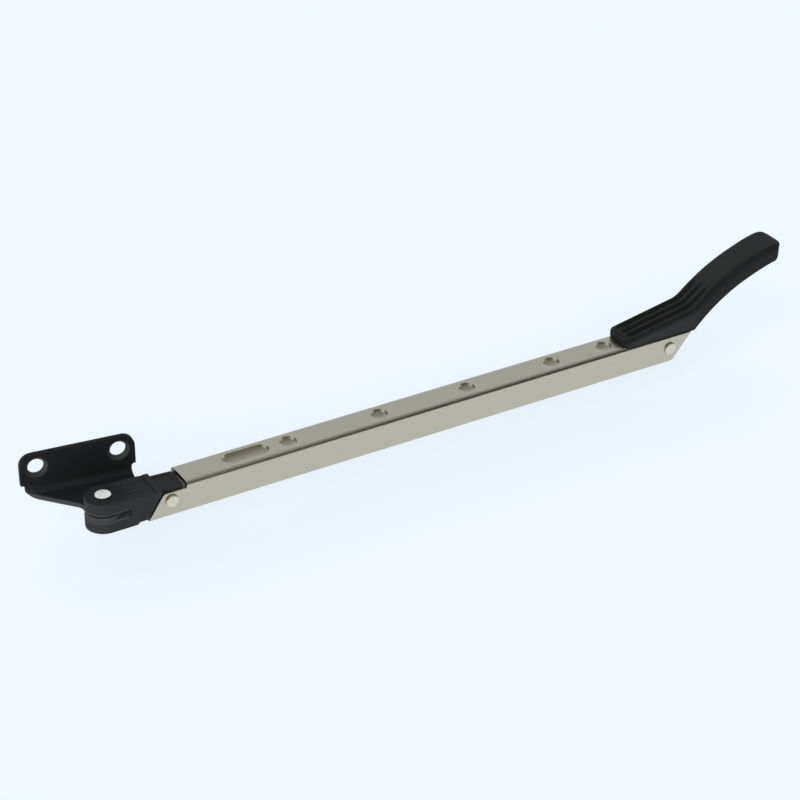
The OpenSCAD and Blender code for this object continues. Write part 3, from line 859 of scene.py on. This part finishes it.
# %% Finish of the bracket, the knuckle and the handle
black_finish("dipped_coat", bracket, (0.0128, 0.0131, 0.0135), (0.008, 0.0082, 0.0086), rough=0.55,
             shine=0.08, grain_size=0.9, grain_deep=0.02, change=painted_light_on_bracket)
black_finish("cast_coat", knuckle, (0.0345, 0.0355, 0.036), (0.024, 0.0246, 0.025), rough=0.58,
             shine=0.05, grain_size=0.35, grain_deep=0.03, change=painted_light_on_casting)
black_finish("moulded_grain", handle, (0.0275, 0.027, 0.0262), (0.0185, 0.0183, 0.018), rough=0.58,
             shine=0.05, grain_size=0.25, grain_deep=0.025, change=painted_light_on_handle)

# %% [markdown]
# ## Floor
# The stay hangs a little above a pale sheet, far enough for the arm to reach its lowest position. The sheet
# is part emission, so that it stays as pale as written, and part diffuse, so that it keeps the stay's soft
# shadow.

# %% Floor
SHEET = (0.863, 0.93, 0.991)
SEEN_GLOW = 0.757
MIRRORED_GLOW = 0.92
SEEN_MATT = 0.3
FLOOR_HALF = 6.0
FLOOR_DROP = 16.5 * MM
floor_bm = bmesh.new()
bmesh.ops.create_grid(floor_bm, x_segments=1, y_segments=1, size=FLOOR_HALF)
bmesh.ops.translate(floor_bm, verts=floor_bm.verts, vec=(0, 0, cad_low.z - FLOOR_DROP))
floor_mesh = bpy.data.meshes.new("floor")
floor_bm.to_mesh(floor_mesh)
floor_bm.free()
floor = bpy.data.objects.new("floor", floor_mesh)
scene.collection.objects.link(floor)


def light_paths(tree):
    """Two shares: 1 for a ray from the camera, and 1 for a ray off metal or through glass."""
    node = make(tree, "ShaderNodeLightPath").socket.node
    camera_ray, glossy_ray, clear_ray = [
        Wire(tree, node.outputs["Is " + kind + " Ray"]) for kind in ("Camera", "Glossy", "Transmission")]
    return camera_ray, glossy_ray + clear_ray


tree = new_finish("pale_sheet", floor)
seen, mirrored = light_paths(tree)
matt_share = 1.0 - (1.0 - SEEN_MATT) * (seen + mirrored)
matt_colour = make(tree, "ShaderNodeVectorMath", {"operation": "SCALE"}, {0: SHEET, "Scale": matt_share})
matt = make(tree, "ShaderNodeBsdfDiffuse", None, {"Color": matt_colour})
lamp = make(tree, "ShaderNodeEmission", None,
            {"Color": (*SHEET, 1), "Strength": SEEN_GLOW * seen + MIRRORED_GLOW * mirrored})
both = make(tree, "ShaderNodeAddShader", None, {0: matt, 1: lamp})
make(tree, "ShaderNodeOutputMaterial", None, {"Surface": both})
print("floor at", round(floor_mesh.vertices[0].co.z / MM, 2), "mm")

# %% [markdown]
# ## Sky and lamp
# Polished metal shows what stands around it, so the stay is in a light tent. The tent is pale at the back,
# darkens over the top towards the front, and is darkest in front on the right. The change from pale to dark
# draws the line along the channel's fold. A broad lamp from the front left lights the blacks, and is left
# out of the mirrored light.

# %% Sky and lamp
TENT_BACK = (0.72, 0.78, 0.83)
TENT_FRONT = 0.26
world = bpy.data.worlds.new("tent")
world.use_nodes = True
scene.world = world
tree = world.node_tree
tree.nodes.clear()


def along(tree, way, direction):
    return make(tree, "ShaderNodeVectorMath", {"operation": "DOT_PRODUCT"}, {0: way, 1: direction}, "Value")


way = make(tree, "ShaderNodeTexCoord", out="Generated")
back = along(tree, way, arm_across)
height = along(tree, way, (0, 0, 1))
right = along(tree, way, arm_along)
tilt = make(tree, "ShaderNodeMath", {"operation": "ARCTAN2"}, {0: height, 1: back})
turned_front = smooth(tree, tilt, math.radians(45), math.radians(160), 0.0, 1.0)
front_tone = smooth(tree, right, 0.33, 0.45, TENT_FRONT, 0.0)
front_colour = make(tree, "ShaderNodeCombineColor", None, {0: front_tone, 1: front_tone, 2: front_tone})
tent = mix_colour(tree, turned_front, TENT_BACK, front_colour)
seen = light_paths(tree)[0]
shown = mix_colour(tree, seen, tent, SHEET)
sky = make(tree, "ShaderNodeBackground", None, {"Color": shown, "Strength": 1.0})
make(tree, "ShaderNodeOutputWorld", None, {"Surface": sky})

KEY_FROM = Vector((-0.55, -0.75, 0.36))
key = bpy.data.lights.new("key", "SUN")
key.angle = math.radians(60)
key.energy = 2.8
key_holder = bpy.data.objects.new("key", key)
key_holder.rotation_euler = KEY_FROM.to_track_quat("Z", "Y").to_euler()
key_holder.visible_glossy = False
scene.collection.objects.link(key_holder)
print("tent and key light are up")

# %% [markdown]
# ## Camera
# The stay is seen from the front left and above, through a long lens. The values come from matching the
# outlines of plate, channel and handle, and the slight roll is the picture's own.

# %% Camera
LENS = 106.2
CAMERA_SPOT = Vector((-0.17399, -0.67761, 0.43977))
LOOK_TURN = math.radians(-23.62)
LOOK_DOWN = math.radians(31.05)
ROLL = math.radians(0.61)
camera_data = bpy.data.cameras.new("camera")
camera_data.lens = LENS
camera_data.sensor_width = 36.0
camera = bpy.data.objects.new("camera", camera_data)
aim = Matrix.Rotation(LOOK_TURN, 4, "Z") @ Matrix.Rotation(math.pi / 2 - LOOK_DOWN, 4, "X")
camera.matrix_world = Matrix.Translation(CAMERA_SPOT) @ aim @ Matrix.Rotation(ROLL, 4, "Z")
scene.collection.objects.link(camera)
scene.camera = camera
scene.view_settings.view_transform = "Standard"
print("camera", [round(v, 3) for v in CAMERA_SPOT])
